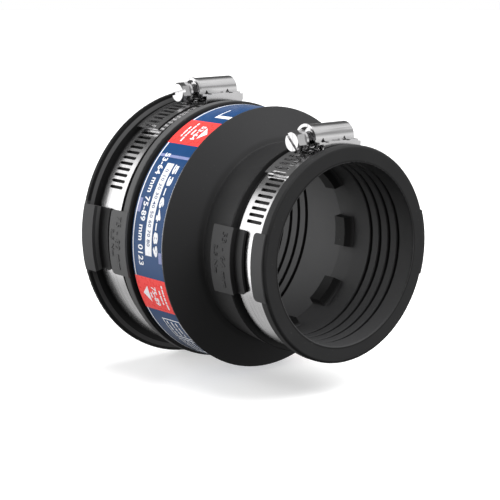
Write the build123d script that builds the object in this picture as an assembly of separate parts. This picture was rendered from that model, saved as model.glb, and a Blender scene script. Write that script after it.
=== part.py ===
"""Stepped rubber pipe coupling with two worm-drive band clamps.

Frame: +X runs along the pipe axis towards the small end and +Z is up, with both clamp housings
on top. The origin is on the pipe axis, in the plane where the small pipe meets its stops.
Angles named phi turn about +X and start at +Y, so the top is 90 and the -Y side is 180 degrees.
Lengths are in millimetres.
"""
from build123d import *
import math
import os

# Rubber sleeve: radii, and stations along X
SMALL_BORE_R = 33.6
LARGE_BORE_R = 44.8
THROAT_X = -7.8
THROAT_R = 33.8
LARGE_STEP_X = -14.6
FRONT_FACE_X = 31.8
FRONT_FLANGE_R = 40.0
FRONT_FLANGE_THICK = 4.0
NECK_EDGE_X = 11.1
NECK_EDGE_R = 39.5
NECK_ROOT_X = -5.2
NECK_ROOT_R = 37.4
SHOULDER_X = -12.8
SHOULDER_R = 50.3
RIB_FRONT_X = -35.0
RIB_BACK_X = -39.2
RIB_R = 50.5
RIB_GROOVE_R = 48.2
RIM_FOOT_X = -57.6
RIM_TOP_X = -58.8
RIM_R = 53.1
BACK_FACE_X = -61.1

# Printed label in its recess
LABEL_FRONT_X = -13.8
LABEL_BACK_X = -33.0
LABEL_R = 49.4
LABEL_THICK = 0.2

# Sealing grooves inside each socket, from the first one's station
GROOVE_PITCH = 4.8
GROOVE_COUNT = 4
GROOVE_WIDTH = 1.8
GROOVE_DEPTH = 0.9
SMALL_GROOVE_X = 9.4
LARGE_GROOVE_X = -54.6

# Pipe stops round the throat
STOP_COUNT = 8
STOP_HALF_ANGLE = 10.5
STOP_TOP_R = 30.8
STOP_FRONT_X = -0.2
STOP_RAMP = 2.4

# Retaining pads, a pair on each side of each band, and the play between pad and band
PAD_LENGTH = 25.0
PAD_CORNER = 1.6
PAD_PLAY = 0.4

# Clamp strip
BAND_WIDTH = 13.2
BAND_THICK = 0.8
BAND_PLAY = 0.3
SLOT_PITCH = 2.5
SLOT_LENGTH = 8.0
SLOT_WIDTH = 1.25
SLOTS_START_PHI = 104.0
RAMP_ANGLE = 20.0
RAMP_LEVEL_ANGLE = 8.0
STRIP_END_Y = 7.0
TAIL_REAR_Y = 1.5 * SLOT_PITCH

# Clamp housing
SADDLE_HALF_WIDTH = 7.4
SADDLE_WALL = 0.5
SADDLE_FLOOR = 0.5
SADDLE_FRONT = 7.6
SADDLE_BACK = 10.7
SADDLE_LIP = 1.8
SADDLE_REAR_CUT = 2.2
COVER_R = 5.1
COVER_THICK = 0.75
COVER_LENGTH = 19.0
COVER_BEAD = 0.3
FOOT_HALF_WIDTH = 7.3
FOOT_DROP = 1.5
WINDOW_HALF_WIDTH = 1.0
WINDOW_HEIGHT = 1.35
COVER_ABOVE_SCREW = 0.15
FRONT_WALL_INSET = 1.5
FRONT_WALL_THICK = 0.6

# Worm screw
SCREW_ABOVE_TAIL = 3.05
THREAD_R = 3.45
THREAD_ROOT_R = 2.6
THREAD_CREST = 0.4
THREAD_BASE = 1.0
HEAD_FLATS = 6.8
HEAD_LENGTH = 3.9
HEAD_FACE = 16.3
HEAD_TURN = 15.0
HEAD_SLOT_WIDTH = 1.1
HEAD_SLOT_DEPTH = 1.5
WASHER_R = 3.95
WASHER_THICK = 0.9
JOURNAL_R = 2.8
COLLAR_R = 3.2
COLLAR_START = 9.2
THREAD_START = 10.0
SCREW_LENGTH = 24.9

# The two clamps: band_r is the strip's outer radius, tail_lift the height of its free end above
# that, housing_y the housing's middle and screw_tilt how far the screw's head end dips.
# Pad stations: back pad from, back pad to, lip to, front pad from and front pad to.
LARGE = {
    "x": -49.5,
    "band_r": 48.5,
    "tail_lift": 2.1,
    "tail_tip_phi": 125.6,
    "slots_end_phi": 156.1,
    "housing_y": 1.5,
    "screw_tilt": 0.0,
    "head_slot_angle": -15.0,
    "pad_x": (-60.4, -53.4, -47.8, -45.0, -34.8),
    "pad_r": (53.3, 51.3),
    "lip_top_r": 49.9,
}
SMALL = {
    "x": 20.0,
    "band_r": 37.4,
    "tail_lift": 1.5,
    "tail_tip_phi": 128.0,
    "slots_end_phi": 157.0,
    "housing_y": -0.8,
    "screw_tilt": 1.5,
    "head_slot_angle": 45.0,
    "pad_x": (3.0, 13.8, 18.2, 25.2, 31.0),
    "pad_r": (40.7, 40.7),
    "lip_top_r": 38.8,
}
MIN = (Align.CENTER, Align.CENTER, Align.MIN)


def ring_part(outline, phi_from=0.0, phi_to=360.0):
    """Turn a closed outline of (x, radius) points about the pipe axis between two angles."""
    face = make_face(Polyline(*outline, close=True))
    solid = revolve(face, axis=Axis.X, revolution_arc=phi_to - phi_from)
    return Rot(phi_from, 0, 0) * solid


def box_outline(x_from, x_to, r_from, r_to):
    return [(x_from, r_from), (x_to, r_from), (x_to, r_to), (x_from, r_to)]


def rounded_face(corners):
    """Closed outline of (x, radius, rounding) corners, with the rounded ones filleted."""
    face = make_face(Polyline(*[(x, r) for x, r, _ in corners], close=True))
    for x, r, rounding in corners:
        if rounding > 0:
            corner = face.vertices().sort_by_distance(Vector(x, r, 0))[0]
            face = fillet(corner, rounding)
    return face


def arc_angle(length, radius):
    return math.degrees(length / radius)


def band_floor(clamp):
    """Radius of the groove that the strip lies in."""
    return clamp["band_r"] - BAND_THICK - BAND_PLAY


def tail_radius(clamp):
    return clamp["band_r"] + clamp["tail_lift"]


def screw_height(clamp):
    return tail_radius(clamp) + SCREW_ABOVE_TAIL


def cover_height(clamp):
    return screw_height(clamp) + COVER_ABOVE_SCREW


def sleeve_body():
    """The turned shape of the sleeve: flanges, neck, cone, label seat, rib and both sockets."""
    flange_back_x = FRONT_FACE_X - FRONT_FLANGE_THICK
    small_floor = band_floor(SMALL)
    large_floor = band_floor(LARGE)
    label_floor = LABEL_R - LABEL_THICK
    corners = [
        (FRONT_FACE_X, SMALL_BORE_R, 0.4),
        (FRONT_FACE_X, FRONT_FLANGE_R, 1.2),
        (flange_back_x, FRONT_FLANGE_R, 0.4),
        (flange_back_x, small_floor, 0.3),
        (NECK_EDGE_X, small_floor, 0.3),
        (NECK_EDGE_X, NECK_EDGE_R, 0.5),
        (NECK_ROOT_X, NECK_ROOT_R, 0.8),
        (SHOULDER_X, SHOULDER_R, 0.25),
        (SHOULDER_X - 0.8, SHOULDER_R - 0.1, 0.2),
        (SHOULDER_X - 0.8, label_floor, 0),
        (LABEL_BACK_X - 0.2, label_floor, 0.3),
        (LABEL_BACK_X - 0.7, RIB_GROOVE_R, 0.3),
        (RIB_FRONT_X, RIB_GROOVE_R, 0.3),
        (RIB_FRONT_X, RIB_R, 0.9),
        (RIB_BACK_X, RIB_R, 0.9),
        (RIB_BACK_X, large_floor, 0.4),
        (RIM_FOOT_X, large_floor, 0.9),
        (RIM_TOP_X, RIM_R, 0.5),
        (BACK_FACE_X, RIM_R, 0.8),
        (BACK_FACE_X, LARGE_BORE_R, 0.8),
        (LARGE_STEP_X, LARGE_BORE_R, 1.5),
        (THROAT_X, THROAT_R, 0),
        (0, SMALL_BORE_R, 0),
    ]
    return revolve(rounded_face(corners), axis=Axis.X)


def sealing_grooves():
    """Ring-shaped tools that cut the sealing grooves into both socket walls."""
    half = GROOVE_WIDTH / 2
    tools = []
    for start, bore in ((SMALL_GROOVE_X, SMALL_BORE_R), (LARGE_GROOVE_X, LARGE_BORE_R)):
        for index in range(GROOVE_COUNT):
            x = start + index * GROOVE_PITCH
            tools.append(ring_part([
                (x - half, bore - 1.0),
                (x + half, bore - 1.0),
                (x + half, bore),
                (x + half * 0.55, bore + GROOVE_DEPTH),
                (x - half * 0.55, bore + GROOVE_DEPTH),
                (x - half, bore),
            ]))
    return tools


def pipe_stops():
    """Moulded lugs round the inner end of the small socket, ramped towards the mouth."""
    root_r = THROAT_R + 0.3
    outline = [
        (THROAT_X, root_r),
        (THROAT_X, STOP_TOP_R),
        (STOP_FRONT_X - STOP_RAMP, STOP_TOP_R),
        (STOP_FRONT_X, SMALL_BORE_R + 0.02),
        (STOP_FRONT_X, root_r),
    ]
    lugs = []
    for index in range(STOP_COUNT):
        middle = index * 360 / STOP_COUNT
        lugs.append(ring_part(outline, middle - STOP_HALF_ANGLE, middle + STOP_HALF_ANGLE))
    return lugs


def corner_rounded(pad, x):
    """Round the pad's two corners at station x, as seen from outside."""
    edges = [
        edge for edge in pad.edges().filter_by(GeomType.LINE)
        if abs(edge.center().X - x) < 0.01 and abs(edge.tangent_at(0).X) < 0.01
    ]
    return fillet(edges, PAD_CORNER)


def retaining_pads(clamp):
    """The pads on the -Y side: the back one steps down to a lip, and both reach over the band."""
    back_from, back_to, lip_to, front_from, front_to = clamp["pad_x"]
    back_r, front_r = clamp["pad_r"]
    lip_r = clamp["band_r"] + PAD_PLAY
    root_r = band_floor(clamp) - 0.3
    reach = BAND_WIDTH / 2 + PAD_PLAY
    back = [
        (back_from, root_r), (back_from, back_r), (back_to, back_r),
        (back_to, clamp["lip_top_r"]), (lip_to, clamp["lip_top_r"]), (lip_to, lip_r),
        (clamp["x"] - reach, lip_r), (clamp["x"] - reach, root_r),
    ]
    front = [
        (front_to, root_r), (front_to, front_r), (front_from, front_r), (front_from, lip_r),
        (clamp["x"] + reach, lip_r), (clamp["x"] + reach, root_r),
    ]
    half = arc_angle(PAD_LENGTH / 2, front_r)
    return [
        corner_rounded(ring_part(back, 180 - half, 180 + half), lip_to),
        corner_rounded(ring_part(front, 180 - half, 180 + half), front_from),
    ]


def rubber_sleeve():
    sleeve = sleeve_body()
    for tool in sealing_grooves():
        sleeve = sleeve - tool
    for lug in pipe_stops():
        sleeve = sleeve + lug
    for pad in retaining_pads(LARGE) + retaining_pads(SMALL):
        sleeve = sleeve + pad
        sleeve = sleeve + Rot(180, 0, 0) * pad
    return sleeve


def printed_label():
    return ring_part(box_outline(LABEL_BACK_X, LABEL_FRONT_X, LABEL_R - LABEL_THICK, LABEL_R))


def strip_outline(clamp, outer):
    half = BAND_WIDTH / 2
    return box_outline(clamp["x"] - half, clamp["x"] + half, outer - BAND_THICK, outer)


def slot_tool(clamp, radius, phi):
    """A round-ended cutter for one slot across the strip."""
    cutter = extrude(SlotOverall(SLOT_LENGTH, SLOT_WIDTH), amount=3.0, both=True)
    return Rot(phi - 90, 0, 0) * Pos(clamp["x"], 0, radius) * cutter


def band_strip(clamp):
    """The fixed part of the strip: once round the groove, then a ramp up into the housing."""
    outer = clamp["band_r"]
    end_phi = math.degrees(math.acos(STRIP_END_Y / tail_radius(clamp)))
    ramp_phi = end_phi - RAMP_LEVEL_ANGLE - RAMP_ANGLE
    start_phi = 90 - arc_angle(3.0, outer)
    strip = ring_part(strip_outline(clamp, outer), start_phi, 360 + ramp_phi)
    strip = strip + band_ramp(clamp, ramp_phi, end_phi - RAMP_LEVEL_ANGLE)
    level = ring_part(strip_outline(clamp, tail_radius(clamp)), end_phi - RAMP_LEVEL_ANGLE, end_phi)
    strip = strip + level
    pitch = arc_angle(SLOT_PITCH, outer)
    last = clamp["slots_end_phi"]
    for index in range(int((last - SLOTS_START_PHI) / pitch) + 1):
        strip = strip - slot_tool(clamp, outer, last - index * pitch)
    return strip


def band_ramp(clamp, phi_from, phi_to):
    """Strip that climbs smoothly from the groove to the height at which it enters the housing."""
    steps = 12
    low = []
    high = []
    for index in range(steps + 1):
        t = index / steps
        phi = math.radians(phi_from + (phi_to - phi_from) * t)
        radius = clamp["band_r"] + clamp["tail_lift"] * (3 * t * t - 2 * t * t * t)
        high.append((radius * math.cos(phi), radius * math.sin(phi)))
        radius = radius - BAND_THICK
        low.append((radius * math.cos(phi), radius * math.sin(phi)))
    ends = [round_tangent(phi_from), round_tangent(phi_to)]
    section = make_face([
        Spline(*high, tangents=ends),
        Line(high[-1], low[-1]),
        Spline(*low, tangents=ends),
        Line(low[0], high[0]),
    ])
    side = Plane(origin=(clamp["x"] - BAND_WIDTH / 2, 0, 0), x_dir=(0, 1, 0), z_dir=(1, 0, 0))
    return extrude(side * section, amount=BAND_WIDTH, dir=(1, 0, 0))


def round_tangent(phi):
    angle = math.radians(phi)
    return (-math.sin(angle), math.cos(angle))


def band_tail(clamp):
    """The free end of the strip, which the worm pulls through the housing."""
    outer = tail_radius(clamp)
    rear_phi = math.degrees(math.acos(TAIL_REAR_Y / outer))
    tail = ring_part(strip_outline(clamp, outer), rear_phi, clamp["tail_tip_phi"])
    pitch = arc_angle(SLOT_PITCH, outer)
    first = -int((90 - rear_phi) / pitch)
    last = int((clamp["tail_tip_phi"] - 91) / pitch)
    for index in range(first, last + 1):
        tail = tail - slot_tool(clamp, outer, 90 + index * pitch)
    return tail


def housing_saddle(clamp):
    """Channel under the screw: a curved floor on the strip and two side walls up to the cover."""
    floor_r = clamp["band_r"]
    top = cover_height(clamp) - FOOT_DROP
    length = SADDLE_FRONT + SADDLE_BACK
    middle = clamp["housing_y"] + (SADDLE_BACK - SADDLE_FRONT) / 2
    front = middle - length / 2
    rear = middle + length / 2
    corner = math.sqrt(floor_r**2 - rear**2) + 3.0
    cut = SADDLE_REAR_CUT
    side_view = Polygon(
        (front, 0), (front, top), (rear, top), (rear, corner), (rear - cut, corner - cut),
        (rear - cut, 0), align=None)
    side = Plane(origin=(clamp["x"], 0, 0), x_dir=(0, 1, 0), z_dir=(1, 0, 0))
    block = extrude(side * side_view, amount=SADDLE_HALF_WIDTH, both=True)
    centre = Pos(clamp["x"], middle, top / 2)
    hollow = centre * Box((SADDLE_HALF_WIDTH - SADDLE_WALL) * 2, length + 2, top + 2)
    around = box_outline(clamp["x"] - 9, clamp["x"] + 9, floor_r, floor_r + 20)
    walls = (block - hollow) & ring_part(around, 60, 120)
    half = SADDLE_HALF_WIDTH
    floor_outline = box_outline(clamp["x"] - half, clamp["x"] + half, floor_r, floor_r + SADDLE_FLOOR)
    trim = Pos(clamp["x"], middle - SADDLE_LIP / 2, floor_r) * Box(40, length + SADDLE_LIP, 30)
    return walls + (ring_part(floor_outline, 60, 125) & trim)


def above(height):
    """Sketch of the half-plane above a height, to trim the cover's rings."""
    return Pos(0, 10 + height) * Rectangle(40, 20)


def housing_cover(clamp):
    """Arched cover over the worm with a flat foot on each side and a recessed front wall."""
    xc = clamp["x"]
    yc = clamp["housing_y"]
    zc = cover_height(clamp)
    inner = COVER_R - COVER_THICK
    foot_top = COVER_THICK - FOOT_DROP
    wall_y = COVER_LENGTH / 2 - FRONT_WALL_INSET
    hole_drop = COVER_ABOVE_SCREW + wall_y * math.tan(math.radians(clamp["screw_tilt"]))
    front = Plane(origin=(xc, yc - COVER_LENGTH / 2, zc), x_dir=(1, 0, 0), z_dir=(0, -1, 0))
    arch = (Circle(COVER_R) - Circle(inner)) & above(0)
    legs = Rectangle(COVER_R * 2, FOOT_DROP) - Rectangle(inner * 2, FOOT_DROP)
    feet = Rectangle(FOOT_HALF_WIDTH * 2, COVER_THICK) - Rectangle(inner * 2, COVER_THICK)
    section = arch + Pos(0, -FOOT_DROP / 2) * legs + Pos(0, COVER_THICK / 2 - FOOT_DROP) * feet
    bead = (Circle(COVER_R + COVER_BEAD) - Circle(inner)) & above(0)
    wall = (Circle(inner + 0.1) - Pos(0, -hole_drop) * Circle(JOURNAL_R + 0.2)) & above(0)
    cover = extrude(front * section, amount=-COVER_LENGTH)
    cover = cover + extrude(front * bead, amount=-1.0)
    cover = cover + Pos(0, FRONT_WALL_INSET, 0) * extrude(front * wall, amount=-FRONT_WALL_THICK)
    for tool in cover_openings(xc, yc, zc, foot_top):
        cover = cover - tool
    return cover


def cover_openings(xc, yc, zc, foot_top):
    """Two small triangular windows and one slit along each side, where the arch meets its foot."""
    core = Pos(xc, yc, zc) * Rot(90, 0, 0) * Cylinder(COVER_R - COVER_THICK - 0.3, 40)
    low = foot_top - 0.25
    window = Polygon(
        (-WINDOW_HALF_WIDTH, low), (WINDOW_HALF_WIDTH, low), (0, foot_top + WINDOW_HEIGHT),
        align=None)
    tools = []
    for side in (-1, 1):
        for y in (-5.8, 4.6):
            plane = Plane(origin=(xc, yc + y, zc), x_dir=(0, 1, 0), z_dir=(1, 0, 0))
            tools.append(extrude(plane * window, amount=side * 8) - core)
        tools.append(Pos(xc + side * 5.2, yc + 0.4, zc + foot_top + 0.2) * Box(1.6, 4.0, 0.3))
    return tools


def worm_thread(length):
    """Right-handed helical thread along +Z, with the lead of the strip's slots."""
    path = Helix(pitch=SLOT_PITCH, height=length, radius=THREAD_ROOT_R - 0.1)
    depth = THREAD_R - THREAD_ROOT_R + 0.1
    profile = Polygon(
        (0, -THREAD_BASE / 2), (depth, -THREAD_CREST / 2), (depth, THREAD_CREST / 2),
        (0, THREAD_BASE / 2), align=None)
    plane = Plane(origin=path @ 0, x_dir=(1, 0, 0), z_dir=path % 0)
    return sweep(plane * profile, path=path, is_frenet=True)


def hex_head(clamp):
    """Hexagon head with a chamfered face at Z=0 and a screwdriver slot."""
    head = extrude(RegularPolygon(HEAD_FLATS / 2, 6, major_radius=False), amount=HEAD_LENGTH)
    chamfer = Cone(HEAD_FLATS / 2, HEAD_FLATS / 2 + HEAD_LENGTH, HEAD_LENGTH, align=MIN)
    slot = Box(12, HEAD_SLOT_WIDTH, HEAD_SLOT_DEPTH, align=MIN)
    return Rot(0, 0, HEAD_TURN) * (head & chamfer) - Rot(0, 0, clamp["head_slot_angle"]) * slot


def thread_start(clamp):
    """Where the helix starts behind the head's face, so that a crest meets the top slot."""
    face_to_top = HEAD_FACE - clamp["housing_y"]
    crest = face_to_top - SLOT_PITCH / 4
    clear_of_collar = THREAD_START + THREAD_BASE / 2
    return crest - math.floor((crest - clear_of_collar) / SLOT_PITCH) * SLOT_PITCH


def worm_screw(clamp):
    """Slotted hexagon-head worm: head, washer, journal, inner collar and thread."""
    washer_end = HEAD_LENGTH + WASHER_THICK
    screw = hex_head(clamp)
    for radius, start, end in (
        (WASHER_R, HEAD_LENGTH, washer_end),
        (JOURNAL_R, washer_end, THREAD_START),
        (COLLAR_R, COLLAR_START, THREAD_START),
        (THREAD_ROOT_R, THREAD_START, SCREW_LENGTH),
    ):
        screw = screw + Pos(0, 0, start) * Cylinder(radius, end - start, align=MIN)
    start = thread_start(clamp)
    screw = screw + Pos(0, 0, start) * worm_thread(SCREW_LENGTH - THREAD_BASE - start)
    middle = Vector(clamp["x"], clamp["housing_y"], screw_height(clamp))
    tilt = math.radians(clamp["screw_tilt"])
    along = Vector(0, math.cos(tilt), math.sin(tilt))
    return Plane(origin=middle - along * HEAD_FACE, x_dir=(1, 0, 0), z_dir=along) * screw


def main():
    os.makedirs("parts", exist_ok=True)
    nodes = {"rubber_sleeve": rubber_sleeve(), "printed_label": printed_label()}
    for name, clamp in (("large", LARGE), ("small", SMALL)):
        nodes[name + "_band_strip"] = band_strip(clamp)
        nodes[name + "_band_tail"] = band_tail(clamp)
        nodes[name + "_housing_saddle"] = housing_saddle(clamp)
        nodes[name + "_housing_cover"] = housing_cover(clamp)
        nodes[name + "_worm_screw"] = worm_screw(clamp)
    for name, shape in nodes.items():
        export_step(shape, "parts/" + name + ".step")


main()
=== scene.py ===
"""Looks of the stepped rubber pipe coupling: rubber, printed label and stainless clamps.

Lengths are in metres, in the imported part's frame: +X along the pipe axis towards the small end,
+Z up, origin on the axis at the small socket's stops. phi is the angle about +X from +Y.
"""
import math

import bpy
import bmesh
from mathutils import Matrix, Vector


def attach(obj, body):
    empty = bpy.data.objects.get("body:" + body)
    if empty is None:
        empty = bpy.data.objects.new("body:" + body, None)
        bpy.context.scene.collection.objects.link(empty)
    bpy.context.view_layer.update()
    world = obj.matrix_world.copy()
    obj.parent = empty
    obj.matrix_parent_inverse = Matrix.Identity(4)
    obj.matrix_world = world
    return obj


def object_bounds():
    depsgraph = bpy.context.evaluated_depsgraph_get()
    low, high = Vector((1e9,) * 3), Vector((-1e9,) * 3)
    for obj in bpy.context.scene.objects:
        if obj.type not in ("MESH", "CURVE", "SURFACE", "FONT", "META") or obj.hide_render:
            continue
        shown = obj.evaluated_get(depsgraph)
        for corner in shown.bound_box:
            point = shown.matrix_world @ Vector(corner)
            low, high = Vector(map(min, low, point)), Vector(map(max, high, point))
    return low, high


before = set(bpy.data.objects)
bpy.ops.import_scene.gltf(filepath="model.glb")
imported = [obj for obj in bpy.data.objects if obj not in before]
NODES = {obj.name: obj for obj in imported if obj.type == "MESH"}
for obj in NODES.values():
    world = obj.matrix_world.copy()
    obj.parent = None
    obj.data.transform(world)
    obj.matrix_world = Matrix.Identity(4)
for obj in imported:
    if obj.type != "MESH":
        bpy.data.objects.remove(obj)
cad_low, cad_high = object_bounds()

MM = 0.001


# Small node-graph helpers

class Graph:
    """Makes nodes in one material and links them, so that each material below stays short."""

    def __init__(self, name):
        self.material = bpy.data.materials.new(name)
        self.material.use_nodes = True
        self.tree = self.material.node_tree
        self.shader = self.tree.nodes["Principled BSDF"]

    def node(self, kind, **values):
        made = self.tree.nodes.new(kind)
        for name, value in values.items():
            setattr(made, name, value)
        return made

    def link(self, source, target):
        self.tree.links.new(source, target)

    def value(self, node, socket, value):
        if hasattr(value, "is_output"):
            self.link(value, node.inputs[socket])
        else:
            node.inputs[socket].default_value = value

    def math(self, operation, first, second=0.0):
        made = self.node("ShaderNodeMath", operation=operation)
        self.value(made, 0, first)
        self.value(made, 1, second)
        return made.outputs[0]

    def both(self, first, *others):
        """Product of factors: 1 only where all of them are."""
        for other in others:
            first = self.math("MULTIPLY", first, other)
        return first

    def either(self, first, *others):
        """Largest of some factors."""
        for other in others:
            first = self.math("MAXIMUM", first, other)
        return first

    def position(self):
        """Object coordinates, which are the part's own coordinates in metres."""
        return self.node("ShaderNodeTexCoord").outputs["Object"]

    def split(self, vector):
        made = self.node("ShaderNodeSeparateXYZ")
        self.link(vector, made.inputs[0])
        return made.outputs

    def join(self, x, y, z):
        made = self.node("ShaderNodeCombineXYZ")
        for index, part in enumerate((x, y, z)):
            self.value(made, index, part)
        return made.outputs[0]

    def noise(self, vector, scale, detail=3.0, roughness=0.5):
        made = self.node("ShaderNodeTexNoise")
        self.link(vector, made.inputs["Vector"])
        made.inputs["Scale"].default_value = scale
        made.inputs["Detail"].default_value = detail
        made.inputs["Roughness"].default_value = roughness
        return made.outputs["Fac"]

    def ramp(self, factor, stops):
        made = self.node("ShaderNodeValToRGB")
        self.link(factor, made.inputs[0])
        elements = made.color_ramp.elements
        while len(elements) < len(stops):
            elements.new(0.5)
        for element, (place, colour) in zip(elements, stops):
            element.position = place
            element.color = (*colour, 1.0)
        return made.outputs[0]

    def mix(self, factor, first, second):
        made = self.node("ShaderNodeMix", data_type="RGBA")
        self.value(made, 0, factor)
        for socket, value in ((6, first), (7, second)):
            if hasattr(value, "is_output"):
                self.link(value, made.inputs[socket])
            else:
                made.inputs[socket].default_value = (*value, 1.0)
        return made.outputs[2]

    def spread(self, factor, low, high):
        """Map a 0 to 1 factor to low..high."""
        made = self.node("ShaderNodeMapRange")
        self.link(factor, made.inputs[0])
        made.inputs["To Min"].default_value = low
        made.inputs["To Max"].default_value = high
        return made.outputs[0]

    def step(self, value, start, end):
        """Smooth step from 0 at start to 1 at end."""
        made = self.node("ShaderNodeMapRange", interpolation_type="SMOOTHSTEP")
        self.value(made, 0, value)
        made.inputs["From Min"].default_value = start
        made.inputs["From Max"].default_value = end
        return made.outputs[0]

    def band(self, value, rise, fall):
        """1 between two places, with a soft rise and a soft fall, each given from low to high."""
        return self.both(self.step(value, *rise), self.step(value, fall[1], fall[0]))

    def bump(self, height, strength, distance):
        made = self.node("ShaderNodeBump")
        self.link(height, made.inputs["Height"])
        made.inputs["Strength"].default_value = strength
        made.inputs["Distance"].default_value = distance
        return made.outputs[0]


# Materials

# Zones of the rubber, where painted shade and painted light go into its colour. Each pair is the
# start and end of a soft edge, in radius or in x, in metres; a step from a larger to a smaller place
# fades in towards the smaller one.
PAD_SIDE = (0.0142, 0.0136)
LARGE_PAD_R = (0.0507, 0.0510)
SMALL_PAD_R = (0.0402, 0.0405)
SMALL_PAD_X = (0.001, 0.002)
RIB_R = ((0.05025, 0.0504), (0.0518, 0.0520))
RIB_X = (-0.0340, -0.0345)
# The valley, rim, socket grooves and stops below are darkened in colour as painted shade.
VALLEY_R = ((0.0460, 0.0462), (0.0482, 0.04845))
VALLEY_X = (-0.0392, -0.0394)
RIM_X = (-0.0572, -0.0576)
SMALL_GROOVE_R = ((0.0337, 0.0341), (0.0345, 0.0346))
SMALL_GROOVE_X = (0.004, 0.005)
LARGE_GROOVE_R = ((0.0449, 0.0453), (0.0458, 0.0459))
LARGE_SOCKET_X = (-0.0138, -0.0142)
STOPS_R = (0.0328, 0.0325)
SMALL_WALL_R = ((0.0330, 0.0333), (0.0339, 0.0341))
LARGE_WALL_R = ((0.0442, 0.0445), (0.0451, 0.0453))
CONE_X = ((-0.0142, -0.0130), (0.000, 0.004))
CONE_R = (0.0385, 0.0400)
FACE_X = (0.0316, 0.0317)

# Painted light on the bore walls and cone and a painted highlight on the rib; DUST_TONE is the colour
# of dust specks.
WALL_PAINTED_LIGHT = (0.042, 0.042, 0.043)
CONE_PAINTED_LIGHT = (0.030, 0.030, 0.031)
RIB_PAINTED_HIGHLIGHT = (0.085, 0.085, 0.086)
DUST_TONE = (0.12, 0.12, 0.12)
SHADED_MIX = 0.75
DUST_MIX = 0.15


def rubber_material():
    """Black moulded rubber with fine grain and specks of dust. Its zones differ in tone: painted
    shade darkens the grooves, stops, valley, rim wall and front face; painted light makes the rib,
    cone and bore walls paler; the pads are paler as well."""
    g = Graph("moulded_rubber")
    place = g.position()
    x, y, z = g.split(place)
    radius = g.math("SQRT", g.math("ADD", g.math("MULTIPLY", y, y), g.math("MULTIPLY", z, z)))
    cloud = g.noise(place, 60.0, 4.0)
    grain = g.noise(place, 2600.0, 2.0)
    dust = g.step(g.noise(place, 900.0, 1.0), 0.72, 0.80)

    beside = g.step(g.math("ABSOLUTE", z), *PAD_SIDE)
    large_pad = g.both(g.step(radius, *LARGE_PAD_R), beside)
    small_pad = g.both(g.step(radius, *SMALL_PAD_R), g.step(x, *SMALL_PAD_X), beside)
    rib = g.both(g.band(radius, *RIB_R), g.step(x, *RIB_X))
    valley = g.both(g.band(radius, *VALLEY_R), g.step(x, *VALLEY_X))
    small_groove = g.both(g.band(radius, *SMALL_GROOVE_R), g.step(x, *SMALL_GROOVE_X))
    in_large_socket = g.step(x, *LARGE_SOCKET_X)
    large_groove = g.both(g.band(radius, *LARGE_GROOVE_R), in_large_socket)
    large_wall = g.both(g.band(radius, *LARGE_WALL_R), in_large_socket)
    walls = g.either(g.band(radius, *SMALL_WALL_R), large_wall)
    cone = g.both(g.band(x, *CONE_X), g.step(radius, *CONE_R))
    stops = g.step(radius, *STOPS_R)
    # Painted shade: the valley beside the large band, the back rim, the socket grooves and the stops
    # are darkened towards black.
    shaded = g.either(valley, g.step(x, *RIM_X), small_groove, large_groove, stops)

    black = g.ramp(cloud, ((0.3, (0.017, 0.017, 0.0175)), (0.7, (0.024, 0.024, 0.0245))))
    grey = g.ramp(cloud, ((0.3, (0.036, 0.036, 0.037)), (0.7, (0.047, 0.047, 0.048))))
    # Painted shade: the front face gets a darker black than the rest of the rubber.
    face_painted_shade = g.ramp(cloud, ((0.3, (0.012, 0.012, 0.0125)), (0.7, (0.017, 0.017, 0.0175))))
    colour = g.mix(g.step(x, *FACE_X), black, face_painted_shade)
    colour = g.mix(g.math("MULTIPLY", shaded, SHADED_MIX), colour, (0.0, 0.0, 0.0))
    # Painted light: the bore walls are made paler.
    colour = g.mix(walls, colour, WALL_PAINTED_LIGHT)
    # Painted light: the cone is made paler.
    colour = g.mix(cone, colour, CONE_PAINTED_LIGHT)
    colour = g.mix(g.either(large_pad, small_pad), colour, grey)
    # Painted highlight: the rib's rounded top is made paler.
    colour = g.mix(rib, colour, RIB_PAINTED_HIGHLIGHT)
    colour = g.mix(g.math("MULTIPLY", dust, DUST_MIX), colour, DUST_TONE)
    g.link(colour, g.shader.inputs["Base Color"])
    g.link(g.spread(cloud, 0.48, 0.60), g.shader.inputs["Roughness"])
    g.shader.inputs["Specular IOR Level"].default_value = 0.30
    g.link(g.bump(grain, 0.12, 0.00005), g.shader.inputs["Normal"])
    return g.material


def label_material():
    """Glossy blue film of the label."""
    g = Graph("label_blue")
    place = g.position()
    cloud = g.noise(place, 90.0, 2.0)
    colour = g.ramp(cloud, ((0.3, (0.010, 0.050, 0.150)), (0.7, (0.014, 0.060, 0.175))))
    g.link(colour, g.shader.inputs["Base Color"])
    g.link(g.spread(cloud, 0.22, 0.30), g.shader.inputs["Roughness"])
    g.shader.inputs["Specular IOR Level"].default_value = 0.2
    return g.material


def steel_material(name, tone, rough_low, rough_high, streak_shade):
    """Bright stainless steel with a cloudy tone, rougher streaks across X whose darker colour is a
    painted reflection, and soft scratches.
    """
    g = Graph(name)
    place = g.position()
    x, y, z = g.split(place)
    streak = g.noise(g.join(g.math("MULTIPLY", x, 40.0), y, z), 35.0, 3.0)
    cloud = g.noise(place, 140.0, 3.0)
    bright = tuple(channel * 1.08 for channel in tone)
    streak_shade_colour = tuple(channel * 0.55 for channel in tone)
    colour = g.ramp(cloud, ((0.3, tone), (0.7, bright)))
    # Painted reflection: the streaks darken the steel colour, by a different amount for each part.
    colour = g.mix(g.math("MULTIPLY", g.step(streak, 0.50, 0.66), streak_shade), colour, streak_shade_colour)
    g.link(colour, g.shader.inputs["Base Color"])
    g.shader.inputs["Metallic"].default_value = 1.0
    g.link(g.spread(streak, rough_low, rough_high), g.shader.inputs["Roughness"])
    g.link(g.bump(streak, 0.15, 0.00004), g.shader.inputs["Normal"])
    return g.material


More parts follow.
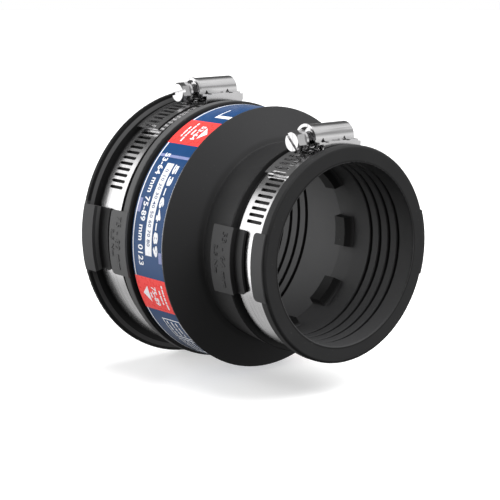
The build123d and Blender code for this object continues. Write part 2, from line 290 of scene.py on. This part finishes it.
def ink_material(name, colour):
    """Printed ink on the glossy film, with a faint unevenness."""
    g = Graph(name)
    cloud = g.noise(g.position(), 700.0, 2.0)
    pale = tuple(min(1.0, channel * 1.06) for channel in colour)
    g.link(g.ramp(cloud, ((0.35, colour), (0.65, pale))), g.shader.inputs["Base Color"])
    g.link(g.spread(cloud, 0.24, 0.32), g.shader.inputs["Roughness"])
    g.shader.inputs["Specular IOR Level"].default_value = 0.2
    return g.material


def set_material(node, material):
    mesh = NODES[node].data
    mesh.materials.clear()
    mesh.materials.append(material)


rubber = rubber_material()
label_blue = label_material()
strip_steel = steel_material("strip_steel", (0.74, 0.735, 0.74), 0.16, 0.30, 0.22)
housing_steel = steel_material("housing_steel", (0.66, 0.655, 0.66), 0.14, 0.26, 0.6)
screw_steel = steel_material("screw_steel", (0.62, 0.615, 0.62), 0.12, 0.22, 0.4)
ink_white = ink_material("ink_white", (0.86, 0.87, 0.90))
ink_red = ink_material("ink_red", (0.90, 0.060, 0.055))
ink_pale = ink_material("ink_pale", (0.22, 0.25, 0.45))
ink_dark = ink_material("ink_dark", (0.03, 0.06, 0.16))

set_material("rubber_sleeve", rubber)
set_material("printed_label", label_blue)
for size in ("large", "small"):
    set_material(size + "_band_strip", strip_steel)
    set_material(size + "_band_tail", strip_steel)
    set_material(size + "_housing_saddle", housing_steel)
    set_material(size + "_housing_cover", housing_steel)
    set_material(size + "_worm_screw", screw_steel)


# Flat outlines wrapped round the pipe axis

LABEL_R = 49.4
INK = 0.03
WRAP_STEP = 1.2


def flat_box(u0, u1, v0, v1):
    """Outline in millimetres: u runs along the circumference and v along +X."""
    return [(u0, v0), (u1, v0), (u1, v1), (u0, v1)]


def prism(mesh, outline, low, high):
    """Closed prism over one convex outline, between two heights above the wrapped surface."""
    bottom = [mesh.verts.new((u, v, low)) for u, v in outline]
    top = [mesh.verts.new((u, v, high)) for u, v in outline]
    mesh.faces.new(top)
    mesh.faces.new(bottom[::-1])
    for index in range(len(outline)):
        after = (index + 1) % len(outline)
        mesh.faces.new((bottom[index], bottom[after], top[after], top[index]))


def text_prism(mesh, words, box, low, high, spacing=1.0, weight=0.0):
    """Closed raised figures and units that fill box = (u0, u1, v0, v1)."""
    curve = bpy.data.curves.new("numerals", "FONT")
    curve.body = words
    curve.space_character = spacing
    curve.offset = weight
    curve.resolution_u = 3
    curve.extrude = 0.5
    holder = bpy.data.objects.new("numerals", curve)
    bpy.context.scene.collection.objects.link(holder)
    bpy.context.view_layer.update()
    made = bpy.data.meshes.new_from_object(holder)
    bpy.data.objects.remove(holder)
    xs = [vert.co.x for vert in made.vertices]
    ys = [vert.co.y for vert in made.vertices]
    u0, u1, v0, v1 = box
    part = bmesh.new()
    part.from_mesh(made)
    bmesh.ops.remove_doubles(part, verts=part.verts, dist=1e-5)
    for vert in part.verts:
        u = u0 + (vert.co.x - min(xs)) / (max(xs) - min(xs)) * (u1 - u0)
        v = v0 + (vert.co.y - min(ys)) / (max(ys) - min(ys)) * (v1 - v0)
        vert.co = (u, v, high if vert.co.z > 0 else low)
    part.to_mesh(made)
    part.free()
    mesh.from_mesh(made)
    bpy.data.meshes.remove(made)


def wrapped(name, mesh, radius, phi, material):
    """Cut the flat pieces into short steps, wrap them round the axis from phi and keep them."""
    us = [vert.co.x for vert in mesh.verts]
    station = math.ceil(min(us) / WRAP_STEP) * WRAP_STEP
    while station < max(us):
        everything = mesh.verts[:] + mesh.edges[:] + mesh.faces[:]
        bmesh.ops.bisect_plane(
            mesh, geom=everything, dist=1e-5, plane_co=(station, 0, 0), plane_no=(1, 0, 0))
        station += WRAP_STEP
    for vert in mesh.verts:
        u, v, w = vert.co
        angle = math.radians(phi) + u / radius
        reach = (radius + w) * MM
        vert.co = (v * MM, reach * math.cos(angle), reach * math.sin(angle))
    bmesh.ops.recalc_face_normals(mesh, faces=mesh.faces)
    data = bpy.data.meshes.new(name)
    mesh.to_mesh(data)
    mesh.free()
    data.materials.append(material)
    piece = bpy.data.objects.new(name, data)
    bpy.context.scene.collection.objects.link(piece)
    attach(piece, "sleeve")
    return piece


def arc(phi, radius=LABEL_R):
    return math.radians(phi) * radius


def label_box(phi0, phi1, x0, x1):
    return flat_box(arc(phi0), arc(phi1), x0, x1)


def dashes(mesh, phi0, phi1, x0, x1, lengths, low, high):
    """A line of short bars that stands for small print."""
    total = sum(lengths) + 0.35 * (len(lengths) - 1)
    scale = (arc(phi1) - arc(phi0)) / total
    start = arc(phi0)
    for length in lengths:
        end = start + length * scale
        prism(mesh, flat_box(start, end, x0, x1), low, high)
        start = end + 0.35 * scale


LABEL_FRONT = -13.85
LABEL_BACK = -32.95
RED_PANELS = ((114.5, 130.6), (192.8, 209.2))
WORDS = (1.4, 2.2, 0.9, 1.8, 1.2, 2.6)


def print_label(turn):
    """One set of the label's print; the film carries the same set twice, half a turn apart."""
    name = "label_" + str(turn)
    red = bmesh.new()
    for phi0, phi1 in RED_PANELS:
        prism(red, label_box(phi0, phi1, LABEL_BACK, LABEL_FRONT), 0.0, INK)
    wrapped(name + "_red", red, LABEL_R, turn, ink_red)

    pale = bmesh.new()
    prism(pale, label_box(136.8, 138.2, -32.0, -14.5), 0.0, INK)
    prism(pale, label_box(158.4, 164.6, -31.8, -30.0), 0.0, INK)
    prism(pale, label_box(180.2, 185.0, -16.6, -14.7), 0.0, INK)
    wrapped(name + "_pale", pale, LABEL_R, turn, ink_pale)

    white = bmesh.new()
    low, high = 0.0, INK * 1.7
    for phi0, phi1 in ((90.0, 114.5), (130.6, 192.8), (209.2, 270.0)):
        prism(white, label_box(phi0, phi1, -14.55, -14.10), low, high)
        prism(white, label_box(phi0, phi1, -32.35, -31.85), low, high)
    prism(white, label_box(141.0, 182.6, -24.6, -20.7), low, high)
    text_prism(white, "53-64-89", (arc(141.2), arc(182.4), -19.8, -17.0), low, high, 1.2, 0.05)
    text_prism(white, "53-64 mm 75-89 mm 0123", (arc(136.2), arc(187.5), -29.0, -26.0),
               low, high, 1.05, 0.02)
    prism(white, [(arc(119.0), -19.3), (arc(126.6), -19.3), (arc(122.8), -16.0)], low, high)
    text_prism(white, "53-64", (arc(118.0), arc(127.4), -22.7, -20.2), low, high, 1.0, 0.02)
    prism(white, [(arc(197.0), -26.6), (arc(201.0), -30.3), (arc(205.0), -26.6)], low, high)
    text_prism(white, "75-89", (arc(196.8), arc(206.2), -24.4, -21.6), low, high, 1.0, 0.02)
    for phi0, phi1, middle, words in (
        (121.0, 124.4, -24.1, (1.0,)), (116.4, 129.0, -26.5, WORDS), (119.4, 126.2, -28.7, WORDS[:3]),
        (195.2, 207.2, -17.4, WORDS), (198.0, 205.0, -19.6, WORDS[:3]), (200.0, 202.6, -25.4, (1.0,)),
    ):
        dashes(white, phi0, phi1, middle - 0.4, middle + 0.4, words, low, high)
    for phi0, phi1 in ((213.6, 226.0), (227.4, 239.8)):
        prism(white, label_box(phi0, phi1, -15.8, -15.4), low, high)
        prism(white, label_box(phi0, phi1, -25.8, -25.4), low, high)
        prism(white, label_box(phi0, phi0 + 0.5, -25.4, -15.8), low, high)
        prism(white, label_box(phi1 - 0.5, phi1, -25.4, -15.8), low, high)
        for row in range(3):
            x = -18.6 - 2.6 * row
            dashes(white, phi0 + 1.6, phi1 - 1.6, x - 0.35, x + 0.35, WORDS[row:row + 3], low, high)
    prism(white, label_box(107.9, 110.2, -23.6, -14.6), low, high)
    prism(white, label_box(101.0, 107.9, -23.6, -23.1), low, high)
    wrapped(name + "_white", white, LABEL_R, turn, ink_white)

    dark = bmesh.new()
    text_prism(dark, "0 10 20 30 40 50 60 70 80", (arc(144.0), arc(178.5), -23.6, -21.8),
               high, high + INK, 1.05, 0.01)
    wrapped(name + "_dark", dark, LABEL_R, turn, ink_dark)


def emboss_pads(turn):
    """Raised size and torque figures on the pad of each clamp that is nearer the label."""
    for name, radius, rows in (
        ("large", 51.3, (("75 - 89 mm", -41.0, -38.2, 10.2), ("2.5 Nm", -44.0, -42.0, 5.2))),
        ("small", 40.7, (("53 - 64 mm", 8.6, 11.2, 10.2), ("2.5 Nm", 4.8, 6.8, 5.2))),
    ):
        mesh = bmesh.new()
        for words, x0, x1, half in rows:
            text_prism(mesh, words, (-half, half, x0, x1), -0.2, 0.22, 1.1, 0.012)
        wrapped("%s_pad_figures_%d" % (name, turn), mesh, radius, turn, rubber)


for turn in (0, 180):
    print_label(turn)
for turn in (180, 0):
    emboss_pads(turn)


# Studio

CAMERA_AIM = Vector((0.0087, -0.0269, 0.0019))
CAMERA_AZIMUTH = math.radians(49.97)
CAMERA_ELEVATION = math.radians(11.30)
CAMERA_DISTANCE = 0.5702
CAMERA_LENS = 113.54


def add_camera():
    data = bpy.data.cameras.new("camera")
    data.lens = CAMERA_LENS
    data.sensor_width = 36.0
    data.clip_start = 0.01
    data.clip_end = 20.0
    camera = bpy.data.objects.new("camera", data)
    level = math.cos(CAMERA_ELEVATION)
    back = Vector((
        math.sin(CAMERA_AZIMUTH) * level,
        -math.cos(CAMERA_AZIMUTH) * level,
        math.sin(CAMERA_ELEVATION),
    ))
    camera.location = CAMERA_AIM + back * CAMERA_DISTANCE
    camera.rotation_mode = "QUATERNION"
    camera.rotation_quaternion = (-back).to_track_quat("-Z", "Y")
    bpy.context.scene.collection.objects.link(camera)
    bpy.context.scene.camera = camera


def add_floor():
    """Pale floor under the object, left out of its light and reflections."""
    bpy.ops.mesh.primitive_circle_add(
        vertices=96, radius=3.0, fill_type="NGON", location=(0, 0, cad_low.z))
    floor = bpy.context.object
    floor.name = "floor"
    g = Graph("floor_white")
    cloud = g.noise(g.position(), 3.0, 2.0)
    colour = g.ramp(cloud, ((0.3, (0.88, 0.88, 0.88)), (0.7, (0.90, 0.90, 0.90))))
    g.link(colour, g.shader.inputs["Base Color"])
    g.shader.inputs["Roughness"].default_value = 0.14
    g.shader.inputs["Specular IOR Level"].default_value = 0.15
    g.shader.inputs["Emission Color"].default_value = (1.0, 1.0, 1.0, 1.0)
    g.shader.inputs["Emission Strength"].default_value = 0.49
    floor.data.materials.append(g.material)
    floor.visible_diffuse = False
    floor.visible_glossy = False


def add_sun(name, direction, strength, angle):
    """Large soft light, the same everywhere in the studio, that doesn't show in reflections.
    direction points at the light and angle is in degrees."""
    data = bpy.data.lights.new(name, "SUN")
    data.energy = strength
    data.angle = math.radians(angle)
    light = bpy.data.objects.new(name, data)
    light.rotation_mode = "QUATERNION"
    light.rotation_quaternion = Vector(direction).to_track_quat("Z", "Y")
    light.visible_glossy = False
    bpy.context.scene.collection.objects.link(light)


# Tones of the surround from straight down (0) to straight up (1), and the soft panels in it:
# direction and brightness. A panel fades in over a range of the cosine from its middle.
SURROUND_TONES = (
    (0.0, 0.02), (0.30, 0.22), (0.46, 0.38), (0.54, 0.75), (0.64, 0.20), (0.74, 0.18),
    (0.84, 0.25), (1.0, 0.80),
)
PANELS = (
    ((-0.75, -0.60, 0.10), 2.4),
    ((-0.75, -0.25, -0.60), 0.7),
    ((0.75, 0.63, -0.20), 1.0),
    ((0.25, 0.45, 0.86), 1.2),
    ((0.75, -0.55, 0.35), 0.5),
)
PANEL_EDGE = (0.75, 0.93)
SURROUND_STRENGTH = 0.6


def surround_light(tree):
    """Brightness of the surround by direction: graded by height, plus the panels."""
    nodes = tree.nodes
    place = nodes.new("ShaderNodeTexCoord")
    split = nodes.new("ShaderNodeSeparateXYZ")
    tree.links.new(place.outputs["Generated"], split.inputs[0])
    height = nodes.new("ShaderNodeMapRange")
    height.inputs["From Min"].default_value = -1.0
    tree.links.new(split.outputs["Z"], height.inputs[0])
    ramp = nodes.new("ShaderNodeValToRGB")
    tree.links.new(height.outputs[0], ramp.inputs[0])
    elements = ramp.color_ramp.elements
    while len(elements) < len(SURROUND_TONES):
        elements.new(0.5)
    for element, (level, tone) in zip(elements, SURROUND_TONES):
        element.position = level
        element.color = (tone, tone, tone, 1.0)
    light = ramp.outputs[0]
    for direction, strength in PANELS:
        toward = nodes.new("ShaderNodeVectorMath")
        toward.operation = "DOT_PRODUCT"
        toward.inputs[1].default_value = Vector(direction).normalized()
        tree.links.new(place.outputs["Generated"], toward.inputs[0])
        panel = nodes.new("ShaderNodeMapRange")
        panel.interpolation_type = "SMOOTHSTEP"
        panel.inputs["From Min"].default_value = PANEL_EDGE[0]
        panel.inputs["From Max"].default_value = PANEL_EDGE[1]
        panel.inputs["To Max"].default_value = strength
        tree.links.new(toward.outputs["Value"], panel.inputs[0])
        total = nodes.new("ShaderNodeMath")
        tree.links.new(light, total.inputs[0])
        tree.links.new(panel.outputs[0], total.inputs[1])
        light = total.outputs[0]
    return light


def add_world():
    """White backdrop for the camera, and the surround for light and reflections."""
    world = bpy.data.worlds.new("studio")
    world.use_nodes = True
    tree = world.node_tree
    nodes = tree.nodes
    surround = nodes["Background"]
    tree.links.new(surround_light(tree), surround.inputs["Color"])
    surround.inputs["Strength"].default_value = SURROUND_STRENGTH
    backdrop = nodes.new("ShaderNodeBackground")
    backdrop.inputs["Color"].default_value = (1.0, 1.0, 1.0, 1.0)
    backdrop.inputs["Strength"].default_value = 1.0
    path = nodes.new("ShaderNodeLightPath")
    mix = nodes.new("ShaderNodeMixShader")
    tree.links.new(path.outputs["Is Camera Ray"], mix.inputs[0])
    tree.links.new(surround.outputs[0], mix.inputs[1])
    tree.links.new(backdrop.outputs[0], mix.inputs[2])
    tree.links.new(mix.outputs[0], nodes["World Output"].inputs[0])
    bpy.context.scene.world = world


add_camera()
add_floor()
add_world()
add_sun("key_top", (0.38, 0.30, 0.88), 4.6, 60.0)
add_sun("fill_left", (-0.70, -0.68, 0.22), 2.6, 50.0)
bpy.context.scene.view_settings.view_transform = "Standard"
